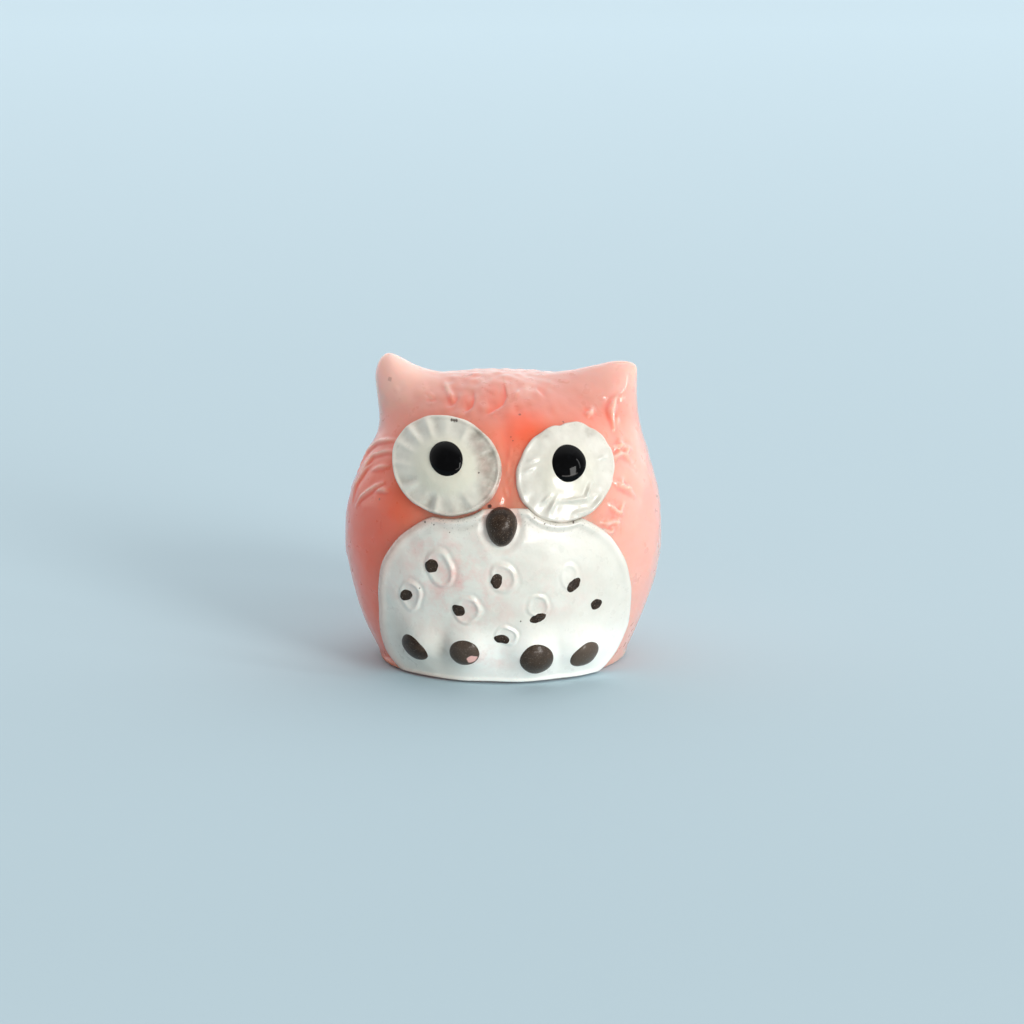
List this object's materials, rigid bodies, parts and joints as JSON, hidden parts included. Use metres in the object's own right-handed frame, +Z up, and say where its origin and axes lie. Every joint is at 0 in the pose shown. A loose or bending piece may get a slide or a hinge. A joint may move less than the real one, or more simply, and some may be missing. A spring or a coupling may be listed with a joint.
{
  "type": "owl figurine",
  "caption": "Small round owl figurine with ear tufts, big raised eye discs and a pale raised belly, cast in pink resin and painted, standing on a flat base.",
  "frame": {"origin": "centre of the object's box at the level of its flat base, so the owl stands on z = 0", "axes": "+Z up; the owl looks along -Y; +X is the owl's own left side, which is on the viewer's right"},
  "size_m": [0.02, 0.0184, 0.0193],
  "materials": {
    "pink_resin": "glossy, slightly cloudy, cast relief",
    "white_enamel": "glossy brushed enamel, thin in places",
    "black_enamel": "high gloss",
    "brown_enamel": "satin gloss brushed enamel"
  },
  "bodies": {
    "root": {"body": "pink_resin", "belly_panel": "white_enamel", "beak": "brown_enamel", "eye_disc_left": "white_enamel", "eye_disc_right": "white_enamel", "pupil_left": "black_enamel", "pupil_right": "black_enamel", "claw_left_outer": "brown_enamel", "claw_left_inner": "brown_enamel", "claw_right_inner": "brown_enamel", "claw_right_outer": "brown_enamel", "belly_speck_1": "brown_enamel", "belly_speck_2": "brown_enamel", "belly_speck_3": "brown_enamel", "belly_speck_4": "brown_enamel", "belly_speck_5": "brown_enamel", "belly_speck_6": "brown_enamel", "belly_speck_7": "brown_enamel", "belly_speck_8": "brown_enamel"}
  },
  "joints": []
}
